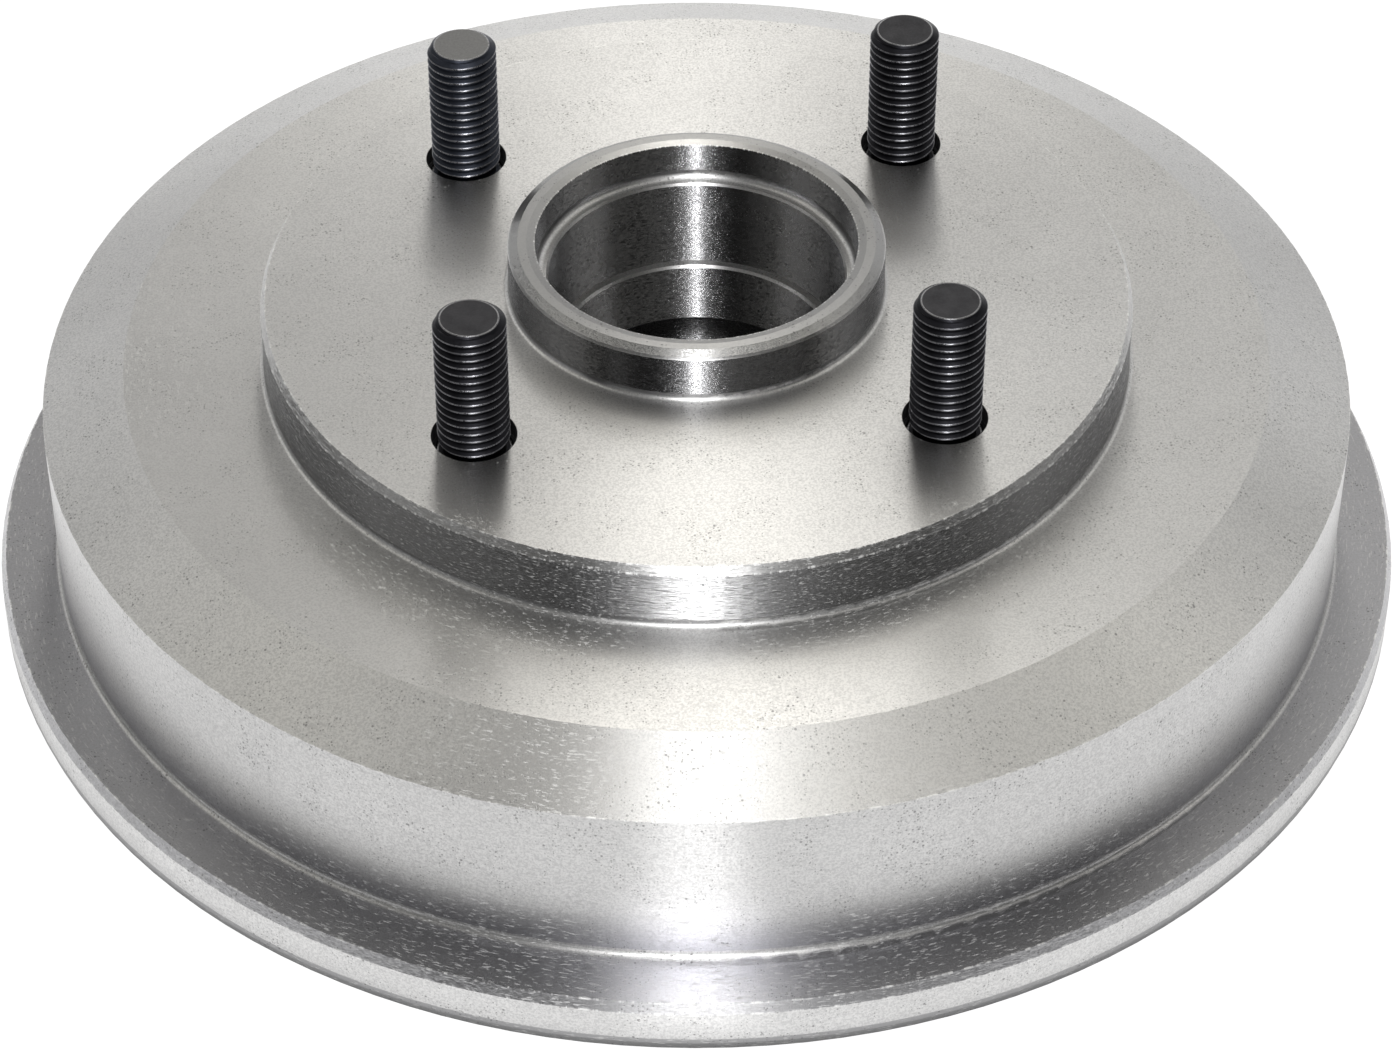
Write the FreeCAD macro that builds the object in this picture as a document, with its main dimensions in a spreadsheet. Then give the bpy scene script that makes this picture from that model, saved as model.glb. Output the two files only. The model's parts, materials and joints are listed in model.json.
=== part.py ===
"""Rear brake drum with an integral hub: one turned iron casting and its pressed-in wheel studs.

The drum stands on its open rim. The origin is the centre of the rim's end plane,
+Z is the axis of rotation and points to the wheel side. All sizes are millimetres.
"""
import FreeCAD, Part
import Sketcher
import os

doc = FreeCAD.newDocument("BrakeDrum")

# Driving sizes
SIZES = {
    # Drum shell, from the braking surface outwards
    "braking_diameter": 203.0,
    "wall_thickness": 9.85,
    "wall_root_radius": 1.7,
    "rim_overhang": 10.25,
    "rim_height": 9.6,
    "rim_upper_bevel_width": 0.9,
    "rim_upper_bevel_height": 1.6,
    "rim_lower_bevel_width": 0.5,
    "rim_lower_bevel_height": 1.6,
    "mouth_bevel": 1.5,
    # Outer face, shoulder cone and raised mounting face
    "mounting_face_height": 57.3,
    "mounting_step": 12.0,
    "mounting_bevel_width": 0.8,
    "mounting_bevel_height": 1.4,
    "mounting_root_radius": 1.3,
    "shoulder_width": 14.05,
    "shoulder_drop": 5.8,
    # Cast thicknesses inside
    "web_thickness": 6.5,
    "hub_plate_thickness": 9.0,
    "step_wall": 7.0,
    "step_draft": 3.5,
    "drum_corner_radius": 3.0,
    "cast_radius": 3.0,
    # Wheel spigot
    "spigot_diameter": 63.4,
    "spigot_height": 9.3,
    "spigot_root_radius": 1.1,
    "spigot_edge_break": 0.35,
    "spigot_outer_bevel_width": 1.35,
    "spigot_outer_bevel_height": 0.7,
    "spigot_inner_bevel_width": 1.4,
    "spigot_inner_bevel_height": 0.3,
    # Bores, from the wheel side inwards
    "spigot_wall": 4.6,
    "cap_seat_depth": 7.0,
    "cap_corner_radius": 1.3,
    "cap_ledge": 2.1,
    "outer_seat_length": 16.5,
    "seat_lead": 0.35,
    "bearing_shoulder": 1.7,
    "shoulder_bevel": 0.4,
    "land_length": 11.7,
    "inner_bearing_diameter": 59.1,
    "seal_ledge": 1.5,
    "seal_seat_depth": 7.4,
    "barrel_wall": 7.0,
    "barrel_draft": 1.0,
    "barrel_end_height": 6.0,
    "barrel_bevel": 1.0,
    # Wheel studs
    "stud_count": 4,
    "pitch_circle": 108.0,
    "thread_diameter": 12.0,
    "stud_projection": 23.8,
    "tip_bevel_width": 1.3,
    "tip_bevel_height": 0.9,
    "neck_depth": 0.85,
    "serration_rise": 0.5,
    "serration_depth": 0.45,
    "serration_flank_angle": 42.0,
    "serration_count": 36,
    "serration_lead": 0.4,
    "recess_clearance": 0.5,
    "recess_depth": 3.0,
    "head_overhang": 2.5,
    "head_thickness": 4.0,
    "head_bevel": 0.8,
    "head_clearance": 3.5,
    "first_stud_angle": 45.0,
}

sheet = doc.addObject("Spreadsheet::Sheet", "Sizes")
for row, (alias, number) in enumerate(SIZES.items(), start=1):
    sheet.set(f"A{row}", alias)
    sheet.set(f"B{row}", str(number))
    sheet.setAlias(f"B{row}", alias)
doc.recompute()


def size(alias):
    """The sheet's cell, as it is written in an expression."""
    return f"Sizes.{alias}"


def value(expression):
    """An expression's present number."""
    return float(sheet.evalExpression(expression))


# Radii worked out from the driving sizes
pitch_radius = f"{size('pitch_circle')} / 2"
thread_radius = f"{size('thread_diameter')} / 2"
neck_radius = f"({thread_radius} - {size('neck_depth')})"
serration_radius = f"({thread_radius} + {size('serration_rise')})"
recess_radius = f"({serration_radius} + {size('recess_clearance')})"
head_radius = f"({serration_radius} + {size('head_overhang')})"
braking_radius = f"{size('braking_diameter')} / 2"
wall_radius = f"({braking_radius} + {size('wall_thickness')})"
rim_radius = f"({wall_radius} + {size('rim_overhang')})"
pocket_radius = f"({pitch_radius} + {head_radius} + {size('head_clearance')})"
step_radius = f"({pocket_radius} + {size('step_wall')})"
spigot_radius = f"{size('spigot_diameter')} / 2"
cap_seat_radius = f"({spigot_radius} - {size('spigot_wall')})"
outer_seat_radius = f"({cap_seat_radius} - {size('cap_ledge')})"
land_radius = f"({outer_seat_radius} - {size('bearing_shoulder')})"
inner_seat_radius = f"{size('inner_bearing_diameter')} / 2"
seal_seat_radius = f"({inner_seat_radius} + {size('seal_ledge')})"
barrel_end_radius = f"({inner_seat_radius} + {size('barrel_wall')})"
barrel_root_radius = f"({barrel_end_radius} + {size('barrel_draft')})"

# Heights above the rim's end plane
mounting_height = size("mounting_face_height")
outer_face_height = f"({mounting_height} - {size('mounting_step')})"
shoulder_height = f"({outer_face_height} - {size('shoulder_drop')})"
web_inner_height = f"({outer_face_height} - {size('web_thickness')})"
plate_inner_height = f"({mounting_height} - {size('hub_plate_thickness')})"
spigot_top = f"({mounting_height} + {size('spigot_height')})"
cap_ledge_height = f"({spigot_top} - {size('cap_seat_depth')})"
outer_shoulder_height = f"({cap_ledge_height} - {size('outer_seat_length')})"
land_end_height = f"({outer_shoulder_height} - {size('land_length')})"
seal_ledge_height = f"({size('barrel_end_height')} + {size('seal_seat_depth')})"
serration_length = f"({size('hub_plate_thickness')} - {size('recess_depth')})"
stud_length = f"({size('hub_plate_thickness')} + {size('stud_projection')})"

ON_AXIS = "0"
FULL_TURN = 360

# How a sketch numbers its own axes and the points of its geometry
SKETCH_ORIGIN = -1
ACROSS_AXIS = -1
UP_AXIS = -2
START_POINT, END_POINT, CENTRE_POINT = range(1, 4)


def origin_feature(body, role):
    """One of the body's own origin planes or axes."""
    return next(f for f in body.Origin.OriginFeatures if f.Role == role)


def new_sketch(body, name, plane):
    sketch = body.newObject("Sketcher::SketchObject", name)
    sketch.AttachmentSupport = [(origin_feature(body, plane), "")]
    sketch.MapMode = "FlatFace"
    return sketch


def bind(sketch, kind, geometry, point, expression):
    """Holds a point at a bound distance from the sketch's origin, or on its axis."""
    if expression == ON_AXIS:
        axis = UP_AXIS if kind == "DistanceX" else ACROSS_AXIS
        sketch.addConstraint(Sketcher.Constraint("PointOnObject", geometry, point, axis))
        return
    start = (SKETCH_ORIGIN, START_POINT)
    distance = Sketcher.Constraint(kind, *start, geometry, point, value(expression))
    held = sketch.addConstraint(distance)
    sketch.setExpression(f"Constraints[{held}]", expression)


def closed_outline(sketch, corners):
    """Straight lines through corners, each an (across, up) pair of expressions, each corner held."""
    places = [FreeCAD.Vector(value(across), value(up), 0) for across, up in corners]
    for place, following in zip(places, places[1:] + places[:1]):
        sketch.addGeometry(Part.LineSegment(place, following))
    for index in range(len(places)):
        ends = ((index - 1) % len(places), END_POINT, index, START_POINT)
        sketch.addConstraint(Sketcher.Constraint("Coincident", *ends))
    for index, (across, up) in enumerate(corners):
        bind(sketch, "DistanceX", index, START_POINT, across)
        bind(sketch, "DistanceY", index, START_POINT, up)
    doc.recompute()


def turned(body, name, corners):
    """A solid turned about the body's Z axis from a section: its corners are (radius, height)."""
    section = new_sketch(body, f"{name}Section", "XZ_Plane")
    closed_outline(section, corners)
    solid = body.newObject("PartDesign::Revolution", name)
    solid.Profile = section
    solid.ReferenceAxis = (origin_feature(body, "Z_Axis"), [""])
    solid.Angle = FULL_TURN
    doc.recompute()


def ring_edge(shape, radius, height):
    """The name of the circular edge of that radius, about the axis, at that height."""
    near = 0.01
    for number, edge in enumerate(shape.Edges, start=1):
        curve = edge.Curve
        if not isinstance(curve, Part.Circle):
            continue
        centre = curve.Center
        if abs(curve.Radius - value(radius)) > near or abs(centre.z - value(height)) > near:
            continue
        if abs(centre.x) < near and abs(centre.y) < near:
            return f"Edge{number}"
    raise ValueError(f"no ring edge at radius {radius}, height {height}")


def rounded(body, name, rings, radius):
    """A fillet of one bound radius along rings given as (radius, height)."""
    base = body.Tip
    feature = body.newObject("PartDesign::Fillet", name)
    feature.Base = (base, [ring_edge(base.Shape, *ring) for ring in rings])
    feature.setExpression("Radius", radius)
    doc.recompute()


def repeated(body, name, feature, count):
    """Copies a feature round the body's own Z axis."""
    pattern = body.newObject("PartDesign::PolarPattern", name)
    pattern.Originals = [feature]
    pattern.Axis = (origin_feature(body, "Z_Axis"), [""])
    pattern.Angle = FULL_TURN
    pattern.setExpression("Occurrences", count)
    body.Tip = pattern
    doc.recompute()


def must_shrink(before, feature):
    """Stops the build if a cut took no material away."""
    least_chip = 1.0
    if before - feature.Shape.Volume < least_chip:
        raise ValueError(f"{feature.Name} cut nothing")


# Drum casting: the shell, the stepped outer face, the spigot and the hub barrel
drum = doc.addObject("PartDesign::Body", "brake_drum")
drum.Label = "brake_drum"

SHELL_OUTSIDE = [
    (f"{rim_radius} - {size('rim_lower_bevel_width')}", ON_AXIS),
    (rim_radius, size("rim_lower_bevel_height")),
    (rim_radius, f"{size('rim_height')} - {size('rim_upper_bevel_height')}"),
    (f"{rim_radius} - {size('rim_upper_bevel_width')}", size("rim_height")),
    (wall_radius, size("rim_height")),
    (wall_radius, shoulder_height),
    (f"{wall_radius} - {size('shoulder_width')}", outer_face_height),
    (step_radius, outer_face_height),
    (step_radius, f"{mounting_height} - {size('mounting_bevel_height')}"),
    (f"{step_radius} - {size('mounting_bevel_width')}", mounting_height),
]
spigot_bevel_foot = f"{spigot_top} - {size('spigot_outer_bevel_height')}"
spigot_bevel_radius = f"{spigot_radius} - {size('spigot_edge_break')}"
SPIGOT_OUTSIDE = [
    (spigot_radius, mounting_height),
    (spigot_radius, f"{spigot_bevel_foot} - {size('spigot_edge_break')}"),
    (spigot_bevel_radius, spigot_bevel_foot),
    (f"{spigot_bevel_radius} - {size('spigot_outer_bevel_width')}", spigot_top),
    (f"{cap_seat_radius} + {size('spigot_inner_bevel_width')}", spigot_top),
    (cap_seat_radius, f"{spigot_top} - {size('spigot_inner_bevel_height')}"),
]
HUB_BORES = [
    (cap_seat_radius, cap_ledge_height),
    (f"{outer_seat_radius} + {size('seat_lead')}", cap_ledge_height),
    (outer_seat_radius, f"{cap_ledge_height} - {size('seat_lead')}"),
    (outer_seat_radius, outer_shoulder_height),
    (f"{land_radius} + {size('shoulder_bevel')}", outer_shoulder_height),
    (land_radius, f"{outer_shoulder_height} - {size('shoulder_bevel')}"),
    (land_radius, f"{land_end_height} + {size('shoulder_bevel')}"),
    (f"{land_radius} + {size('shoulder_bevel')}", land_end_height),
    (inner_seat_radius, land_end_height),
    (inner_seat_radius, f"{seal_ledge_height} + {size('seat_lead')}"),
    (f"{inner_seat_radius} + {size('seat_lead')}", seal_ledge_height),
    (seal_seat_radius, seal_ledge_height),
    (seal_seat_radius, f"{size('barrel_end_height')} + {size('seat_lead')}"),
    (f"{seal_seat_radius} + {size('seat_lead')}", size("barrel_end_height")),
]
SHELL_INSIDE = [
    (f"{barrel_end_radius} - {size('barrel_bevel')}", size("barrel_end_height")),
    (barrel_end_radius, f"{size('barrel_end_height')} + {size('barrel_bevel')}"),
    (barrel_root_radius, plate_inner_height),
    (pocket_radius, plate_inner_height),
    (f"{pocket_radius} + {size('step_draft')}", web_inner_height),
    (braking_radius, web_inner_height),
    (braking_radius, size("mouth_bevel")),
    (f"{braking_radius} + {size('mouth_bevel')}", ON_AXIS),
]
turned(drum, "Casting", SHELL_OUTSIDE + SPIGOT_OUTSIDE + HUB_BORES + SHELL_INSIDE)

rounded(drum, "WallRoot", [(wall_radius, size("rim_height"))], size("wall_root_radius"))
rounded(drum, "StepRoot", [(step_radius, outer_face_height)], size("mounting_root_radius"))
rounded(drum, "SpigotRoot", [(spigot_radius, mounting_height)], size("spigot_root_radius"))
rounded(drum, "CapCorner", [(cap_seat_radius, cap_ledge_height)], size("cap_corner_radius"))
rounded(drum, "DrumCorner", [(braking_radius, web_inner_height)], size("drum_corner_radius"))
rounded(
    drum,
    "CastRoots",
    [
        (barrel_root_radius, plate_inner_height),
        (pocket_radius, plate_inner_height),
        (f"{pocket_radius} + {size('step_draft')}", web_inner_height),
    ],
    size("cast_radius"),
)

# Stud holes: a bore for the serrated shank and a wider recess in the mounting face
stud_angle = f"{size('first_stud_angle')} * 1deg"
first_stud_x = f"{pitch_radius} * cos({stud_angle})"
first_stud_y = f"{pitch_radius} * sin({stud_angle})"


def stud_holes(name, radius, depth):
    """Round pockets down from the mounting face, one at each stud."""
    sketch = new_sketch(drum, f"{name}Circle", "XY_Plane")
    sketch.setExpression("AttachmentOffset.Base.z", mounting_height)
    doc.recompute()
    centre = FreeCAD.Vector(value(first_stud_x), value(first_stud_y), 0)
    circle = sketch.addGeometry(Part.Circle(centre, FreeCAD.Vector(0, 0, 1), value(radius)))
    bind(sketch, "DistanceX", circle, CENTRE_POINT, first_stud_x)
    bind(sketch, "DistanceY", circle, CENTRE_POINT, first_stud_y)
    held = sketch.addConstraint(Sketcher.Constraint("Radius", circle, value(radius)))
    sketch.setExpression(f"Constraints[{held}]", radius)
    before = drum.Tip.Shape.Volume
    pocket = drum.newObject("PartDesign::Pocket", name)
    pocket.Profile = sketch
    pocket.setExpression("Length", depth)
    doc.recompute()
    must_shrink(before, pocket)
    repeated(drum, f"{name}Ring", pocket, size("stud_count"))


stud_holes("StudBore", serration_radius, size("hub_plate_thickness"))
stud_holes("StudRecess", recess_radius, size("recess_depth"))

# Wheel stud: head, serrated shank, neck and threaded end, with z 0 where its head seats
stud = doc.addObject("PartDesign::Body", "wheel_stud")
stud.Label = "wheel_stud_blank"

STUD_OUTLINE = [
    (ON_AXIS, f"-{size('head_thickness')}"),
    (f"{head_radius} - {size('head_bevel')}", f"-{size('head_thickness')}"),
    (head_radius, f"{size('head_bevel')} - {size('head_thickness')}"),
    (head_radius, ON_AXIS),
    (serration_radius, ON_AXIS),
    (serration_radius, f"{serration_length} - {size('serration_lead')}"),
    (f"{serration_radius} - {size('serration_lead')}", serration_length),
    (neck_radius, serration_length),
    (neck_radius, f"{size('hub_plate_thickness')} - {size('neck_depth')}"),
    (thread_radius, size("hub_plate_thickness")),
    (thread_radius, f"{stud_length} - {size('tip_bevel_height')}"),
    (f"{thread_radius} - {size('tip_bevel_width')}", stud_length),
    (ON_AXIS, stud_length),
]
turned(stud, "StudBlank", STUD_OUTLINE)

# Serrations: one notch along the shank, repeated round it
notch_root = f"({serration_radius} - {size('serration_depth')})"
notch_mouth = f"({serration_radius} + {size('serration_depth')})"
flank_slope = f"tan({size('serration_flank_angle')} * 1deg)"
notch_half_width = f"({notch_mouth} - {notch_root}) * {flank_slope}"
plain_volume = stud.Tip.Shape.Volume
notch = new_sketch(stud, "SerrationNotch", "XY_Plane")
NOTCH_CORNERS = [
    (notch_root, ON_AXIS),
    (notch_mouth, notch_half_width),
    (notch_mouth, f"-{notch_half_width}"),
]
closed_outline(notch, NOTCH_CORNERS)
serration = stud.newObject("PartDesign::Pocket", "Serration")
serration.Profile = notch
serration.Reversed = True
serration.setExpression("Length", serration_length)
doc.recompute()
must_shrink(plain_volume, serration)
repeated(stud, "Serrations", serration, size("serration_count"))

# The studs of the bolt circle, each pressed in from the open side of the drum
studs = doc.addObject("Part::Compound", "wheel_studs")
studs.Label = "wheel_studs"
placed = []
for index in range(int(value(size("stud_count")))):
    steps = f"{index} * {FULL_TURN} / {size('stud_count')}"
    turn = f"({size('first_stud_angle')} + {steps}) * 1deg"
    link = doc.addObject("App::Link", f"PlacedStud{index + 1}")
    link.LinkedObject = stud
    link.setExpression("Placement.Base.x", f"{pitch_radius} * cos({turn})")
    link.setExpression("Placement.Base.y", f"{pitch_radius} * sin({turn})")
    link.setExpression("Placement.Base.z", plate_inner_height)
    placed.append(link)
studs.Links = placed
doc.recompute()

# Every object must have rebuilt, and every sub-part must be sound, before anything is written
SUB_PARTS = [drum, studs]
for item in doc.Objects:
    if "Invalid" in item.State or "Error" in item.State:
        raise ValueError(f"{item.Name} failed: {item.State}")
for part in SUB_PARTS:
    if part.Shape.isNull() or not part.Shape.isValid():
        raise ValueError(f"{part.Label} has no valid shape")

os.makedirs("parts", exist_ok=True)
for part in SUB_PARTS:
    part.Shape.exportStep(f"parts/{part.Label}.step")
    box = part.Shape.BoundBox
    print(part.Label, len(part.Shape.Solids), "solids", round(part.Shape.Volume), "mm3", box)
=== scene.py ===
import json
import math

import bmesh
import bpy
from mathutils import Matrix, Vector


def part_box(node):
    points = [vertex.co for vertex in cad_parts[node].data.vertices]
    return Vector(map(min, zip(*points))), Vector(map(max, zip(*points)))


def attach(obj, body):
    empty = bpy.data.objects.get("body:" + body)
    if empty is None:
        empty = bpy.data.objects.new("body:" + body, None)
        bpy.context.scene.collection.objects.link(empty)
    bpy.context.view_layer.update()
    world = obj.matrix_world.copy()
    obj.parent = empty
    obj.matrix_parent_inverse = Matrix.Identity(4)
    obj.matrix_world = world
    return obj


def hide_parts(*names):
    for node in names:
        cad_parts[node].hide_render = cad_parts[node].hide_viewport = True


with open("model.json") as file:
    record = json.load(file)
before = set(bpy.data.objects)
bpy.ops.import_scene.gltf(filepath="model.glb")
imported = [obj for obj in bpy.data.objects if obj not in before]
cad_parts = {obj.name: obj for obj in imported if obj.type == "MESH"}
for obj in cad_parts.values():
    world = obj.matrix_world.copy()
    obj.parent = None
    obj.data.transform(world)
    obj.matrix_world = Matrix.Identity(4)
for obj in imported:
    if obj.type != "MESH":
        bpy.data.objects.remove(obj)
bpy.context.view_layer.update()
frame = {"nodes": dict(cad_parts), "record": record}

MM = 0.001

# Places read from the frame, in metres
mounts = {mount["name"]: mount for mount in frame["record"]["mounts"]}
stud_circle = mounts["stud_circle"]
face_height = stud_circle["pos_m"][2]
pitch_radius = stud_circle["dims"]["pcd_mm"] / 2 * MM
stud_count = stud_circle["dims"]["count"]
thread_radius = stud_circle["dims"]["stud_r_mm"] * MM
stud_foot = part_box("wheel_studs")[0].z
stud_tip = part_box("wheel_studs")[1].z

# Sizes of a wheel stud that no mount states
FIRST_STUD_ANGLE = math.radians(45)
HEAD_RADIUS = 9.0 * MM
HEAD_THICKNESS = 4.0 * MM
HEAD_BEVEL = 0.8 * MM
SERRATION_RADIUS = 6.5 * MM
SERRATION_DEPTH = 0.45 * MM
SERRATION_COUNT = 36
SERRATION_LENGTH = 6.0 * MM
SERRATION_LEAD = 0.4 * MM
NECK_DEPTH = 0.85 * MM
TIP_BEVEL_WIDTH = 1.3 * MM
TIP_BEVEL_HEIGHT = 0.9 * MM
THREAD_PITCH = 1.5 * MM
THREAD_DEPTH = 0.82 * MM
CREST_WEAR = 0.06 * MM

# One turn of the rolled thread: share of the pitch, share of the depth below the crest
THREAD_FORM = (
    (0.00, 1.00),
    (0.09, 0.95),
    (0.21, 0.64),
    (0.32, 0.33),
    (0.42, 0.05),
    (0.46, 0.00),
    (0.50, 0.04),
    (0.54, 0.00),
    (0.58, 0.05),
    (0.68, 0.33),
    (0.79, 0.64),
    (0.91, 0.95),
)
STUD_SIDES = 2 * SERRATION_COUNT

# Where the drum's surface changes, as radii from the axis and heights above the rim plane
POCKET_EDGE = 70.0 * MM
POCKET_CEILING = 48.6 * MM
BRAKING_EDGE = 101.2 * MM
WEB_CEILING = 41.0 * MM

# Smooth steps in the drum's finish, painted shade and highlights: from and to which slope, radius,
# height or distance, and the value at either end
WALL_SLOPES = (0.25, 0.65, 1.0, 0.0)
HUB_WALLS = (32.0 * MM, 32.6 * MM, 1.0, 0.0)
SPIGOT_END_RISE = (65.5 * MM, 65.8 * MM, 0.0, 1.0)
SPIGOT_END_EDGE = (31.9 * MM, 32.6 * MM, 1.0, 0.0)
STEP_WALL_START = (71.0 * MM, 72.0 * MM, 0.0, 1.0)
STEP_WALL_END = (73.6 * MM, 73.8 * MM, 0.8, 0.0)
# Painted shade on the walls near the hub
SHADED_HUB_WALLS = (74.5 * MM, 76.0 * MM, 0.8, 0.0)
SHELL_START = (111.0 * MM, 111.2 * MM, 0.0, 1.0)
# Painted shade at the shell's foot, darker towards the flange
SHELL_FOOT = (10.5 * MM, 20.0 * MM, 0.65, 0.0)
# Painted shadow on the bevel under the rim, up to this height
LOWER_BEVEL_RISE = (2.4 * MM, 2.6 * MM, 0.72, 0.0)
BEVEL_BAND = (0.85 * MM, 1.05 * MM, 0.3, 0.0)
# Worn edges, partly a painted highlight
WEAR_AND_GLINT_BAND = (0.10 * MM, 0.30 * MM, 1.0, 0.0)
RECESS_EDGE = (SERRATION_RADIUS + 0.42 * MM, SERRATION_RADIUS + 0.60 * MM, 1.0, 0.0)
FILINGS_REACH = (8.5 * MM, 12.0 * MM, 1.0, 0.0)

# Smooth steps over a noise: from and to which level of it, and the value at either end
SCRATCHED = (0.55, 0.72, 0.0, 1.0)
FLECKED = (0.61, 0.66, 0.0, 1.0)
CROWDING = (0.38, 0.62, 0.50, 1.25)
BROKEN_WEAR_AND_GLINT = (0.47, 0.64, 0.0, 0.9)
GRAIN_SHADE = (0.40, 0.62, 0.0, 0.36)
GROOVE_SHADE = (0.46, 0.72, 0.0, 0.20)
GRAIN_ROUGHNESS = (0.30, 0.70, 0.28, 0.34)
BORED_MARKS = (0.34, 0.54, 0.0, 1.5)
SPARKLE = (0.30, 0.70, -0.36, 0.36)

# Where a region of the finish, or of its painted shade, starts
LOWER_BEVEL_START = 120.5 * MM
FLANGE_TOP = 9.7 * MM
CAST_START = 33.0 * MM
RECESS_DEPTH = 4.0 * MM

# Turned edges, as radius and height
WORN_EDGES = (
    (111.35 * MM, 39.5 * MM),
    (73.5 * MM, 55.9 * MM),
    (72.7 * MM, 57.3 * MM),
    (121.6 * MM, 8.0 * MM),
    (120.7 * MM, 9.6 * MM),
    (31.7 * MM, 65.9 * MM),
    (27.1 * MM, 66.3 * MM),
)

# Turned fillets: radius and height of the arc's centre, the arc's radius, 1 or -1 for a wall nearer
# the axis or farther from it than that centre, and the share of the arc's width, on the side away
# from the wall, that is shaded as flat
FILLETS = (
    (113.05 * MM, 11.3 * MM, 1.7 * MM, 1, 0.52),
    (74.8 * MM, 46.6 * MM, 1.3 * MM, 1, 0.28),
    (32.8 * MM, 58.4 * MM, 1.1 * MM, 1, 0.20),
    (25.8 * MM, 60.9 * MM, 1.3 * MM, -1, 0.0),
)

# How far past a fillet's arc its round shading holds, and the reach outward that keeps it bright
FILLET_MARGIN = 0.2 * MM
FILLET_LIFT = 0.5 * MM

# The photograph's camera, seen from the drum's axis
VIEW_TURN = math.radians(-3.31)
VIEW_PITCH = math.radians(40.75)
CAMERA_REACH = 563.8 * MM
CAMERA_HEIGHT = 488.4 * MM
LENS = 108.54
SENSOR_WIDTH = 36.0

# Colours of the iron, linear
CLEAN_IRON = (0.78, 0.775, 0.77, 1.0)
CLOUDED_IRON = (0.64, 0.635, 0.63, 1.0)
# Painted shade for the bores, the walls near the hub and the spigot's end
PAINTED_BORE_SHADE = (0.14, 0.14, 0.143, 1.0)
# Painted shade, with a painted violet tint of the mirrored studio, for the flange's top and the
# shell's foot
FLANGE_SHADE = (0.34, 0.34, 0.38, 1.0)
# Painted shadow for the bevel under the rim, by the floor
RIM_FOOT_SHADOW = (0.26, 0.26, 0.27, 1.0)
GRAIN_IRON = (0.34, 0.34, 0.345, 1.0)
GROOVE_IRON = (0.34, 0.34, 0.35, 1.0)
PORE = (0.16, 0.16, 0.16, 1.0)
# Rubbed edges, partly wear and partly a painted highlight
RUBBED_AND_GLINTING_IRON = (0.92, 0.92, 0.91, 1.0)
FILING = (0.85, 0.85, 0.85, 1.0)
FLECK = (0.80, 0.80, 0.79, 1.0)
# The recess round each stud, darkened
DARK_RECESS = (0.035, 0.035, 0.037, 1.0)
CAST_SKIN = ((0.24, 0.235, 0.23, 1.0), (0.34, 0.33, 0.32, 1.0))

# Colours of the studs, linear, in pairs that patches go between
BLACK_OXIDE = ((0.012, 0.012, 0.014, 1.0), (0.034, 0.034, 0.040, 1.0))
BLUE_OXIDE = ((0.024, 0.027, 0.036, 1.0), (0.060, 0.066, 0.084, 1.0))
BLACK_TIP = ((0.030, 0.030, 0.033, 1.0), (0.075, 0.074, 0.080, 1.0))
PALE_TIP = ((0.12, 0.12, 0.12, 1.0), (0.30, 0.30, 0.30, 1.0))
# Worn crests, partly a painted highlight
CREST_WEAR_AND_HIGHLIGHT = (0.34, 0.34, 0.36, 1.0)
WORN_RIM = (0.36, 0.36, 0.37, 1.0)

# The turned grooves: their grain's width, how many grains a radian holds, and how many times finer
# the fine ones are
GROOVE_WIDTH = 0.30 * MM
GRAINS_PER_RADIAN = 60.0
FINE_GROOVE_SCALE = (2.6, 2.6, 3.4)

# Sizes of the iron's other grains, for pores and filings the spacing and the largest reach, then how
# soft a pore's edge is, how much more small pores there are than large ones, and how dark they are
GRAIN_SIZE = 0.40 * MM
CLOUD_SIZE = 24.0 * MM
CROWD_SIZE = 7.0 * MM
LUMP_SIZE = 2.2 * MM
LARGE_PORES = (0.80 * MM, 0.22 * MM)
SMALL_PORES = (0.44 * MM, 0.16 * MM)
FILING_SPOTS = (0.75 * MM, 0.22 * MM)
PORE_EDGE = 0.08 * MM
PORE_SPREAD = 1.2
PORE_STRENGTH = 0.60

# The turned highlight's stretch, the turn that lays it round the axis, and how deep the relief is
TURNED_STRETCH = 0.6
ROUND_THE_AXIS = 0.25
RELIEF_DEPTH = 0.018 * MM

# The bored surfaces' finish: what it adds to the turned one's roughness and stretch, how many marks
# follow each other in a groove's grain, and their width
BORED_ROUGHNESS = -0.09
BORED_STRETCH = 0.3
BORED_MARKS_PER_GRAIN = 0.5
BORED_MARK_WIDTH = 0.06 * MM

# How much of the bores' painted shade the spigot's end takes, and how strong the bright flecks are
SPIGOT_END_SHADE = 0.55
FLECK_SHARE = 0.5

# The studs' finish: its grains, its relief, and smooth steps as in the drum's
OXIDE_GRAIN = 0.35 * MM
OXIDE_PATCH = 3.0 * MM
OXIDE_RELIEF = 0.02 * MM
OXIDE_ROUGHNESS = (0.35, 0.65, 0.36, 0.50)
RUBBED_SMOOTHER = 0.16
CREST_REACH = (thread_radius - 0.20 * MM, thread_radius - 0.08 * MM, 0.0, 1.0)
CREST_PATCHES = (0.35, 0.60, 0.45, 1.0)
TIP_FACE = (stud_tip - 0.05 * MM, stud_tip - 0.02 * MM, 0.0, 1.0)
TIP_RIM_WIDTH = (0.04 * MM, 0.20 * MM, 0.8, 0.0)
TIP_RIM_RISE = (stud_tip - 0.25 * MM, stud_tip - 0.10 * MM, 0.0, 1.0)

# The studs' mesh: the angle from which an edge is sharp, and how near a vertex counts as on a cut
SHARP_ANGLE = math.radians(32)
CUT_TOLERANCE = 1e-7

# The floor, a hair under the rim plane, so that it and the rim's face don't share a place
FLOOR_HEIGHT = -0.05 * MM
FLOOR_HALF = 12.0
PAPER = (0.80, 0.80, 0.80, 1.0)
DIM_PAPER = (0.15, 0.15, 0.15, 1.0)

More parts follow.
